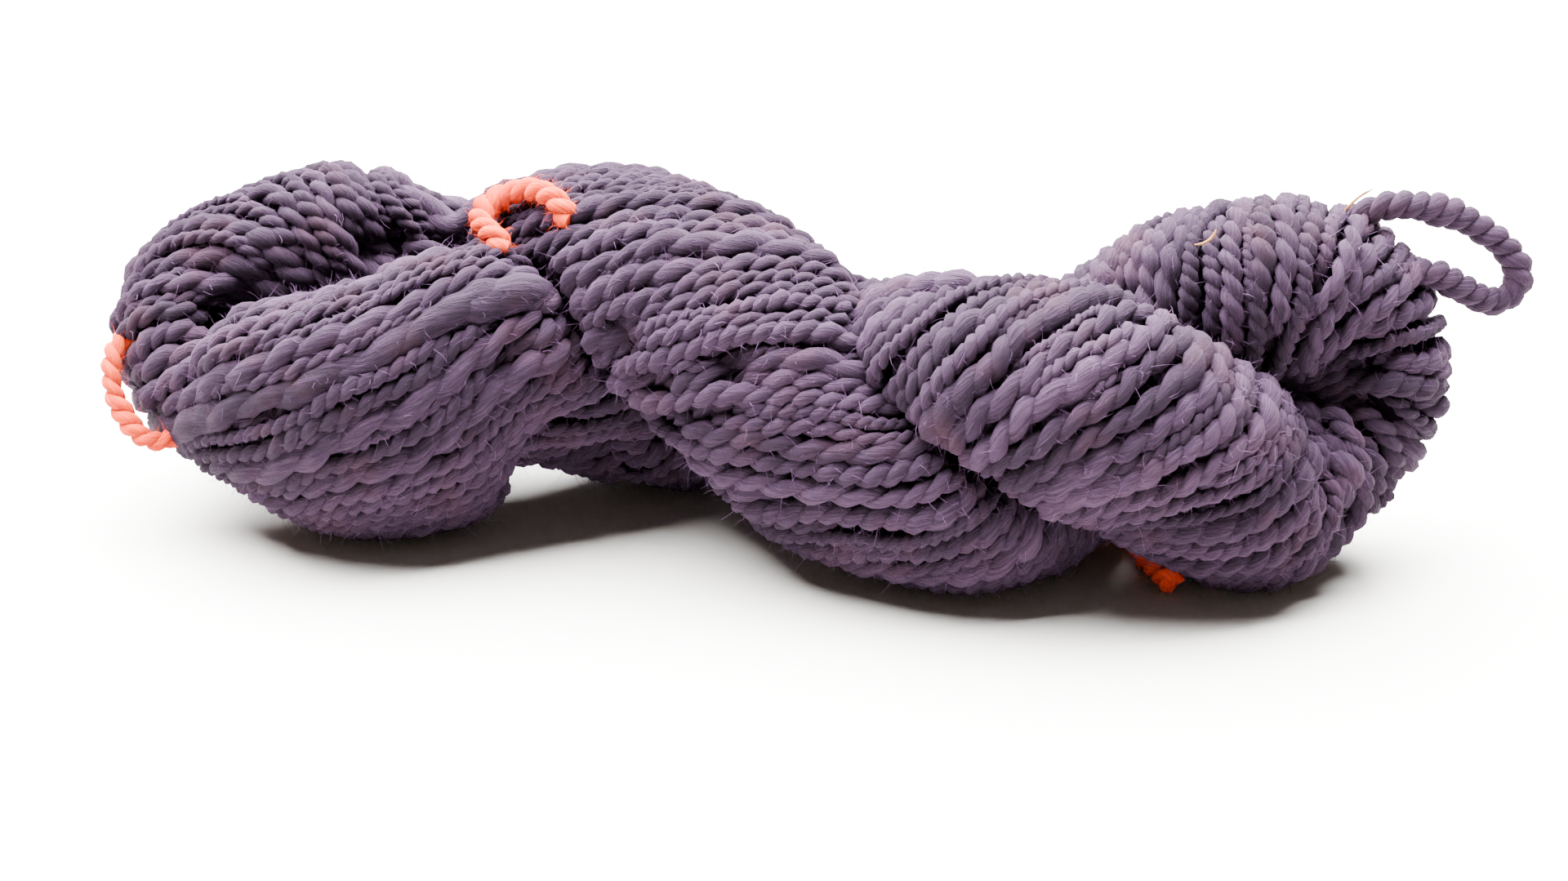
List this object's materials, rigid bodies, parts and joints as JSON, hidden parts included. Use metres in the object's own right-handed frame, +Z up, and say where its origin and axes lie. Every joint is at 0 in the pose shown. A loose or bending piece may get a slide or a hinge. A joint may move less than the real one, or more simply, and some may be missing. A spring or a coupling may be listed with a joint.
{
  "type": "hank of yarn",
  "caption": "Twisted hank of thick-and-thin handspun wool yarn, doubled back on itself, with short wool ties and one loose loop at its end.",
  "frame": {"origin": "centre of the bounding box's base, on the surface that the hank lies on", "axes": "+X along the hank towards the end with the loose loop, +Y towards the back, +Z up"},
  "size_m": [0.2694, 0.1001, 0.0693],
  "materials": {
    "purple_wool": "matt, slightly fuzzy two-ply wool in dusty purple with darker and greyer streaks",
    "orange_wool": "matt, fuzzy plied wool in bright orange",
    "straw": "dry golden stalk"
  },
  "bodies": {
    "root": {"hank": "purple_wool", "yarn_loop": "purple_wool", "tie_top": "orange_wool", "tie_left": "orange_wool", "tie_end": "orange_wool"}
  },
  "joints": []
}
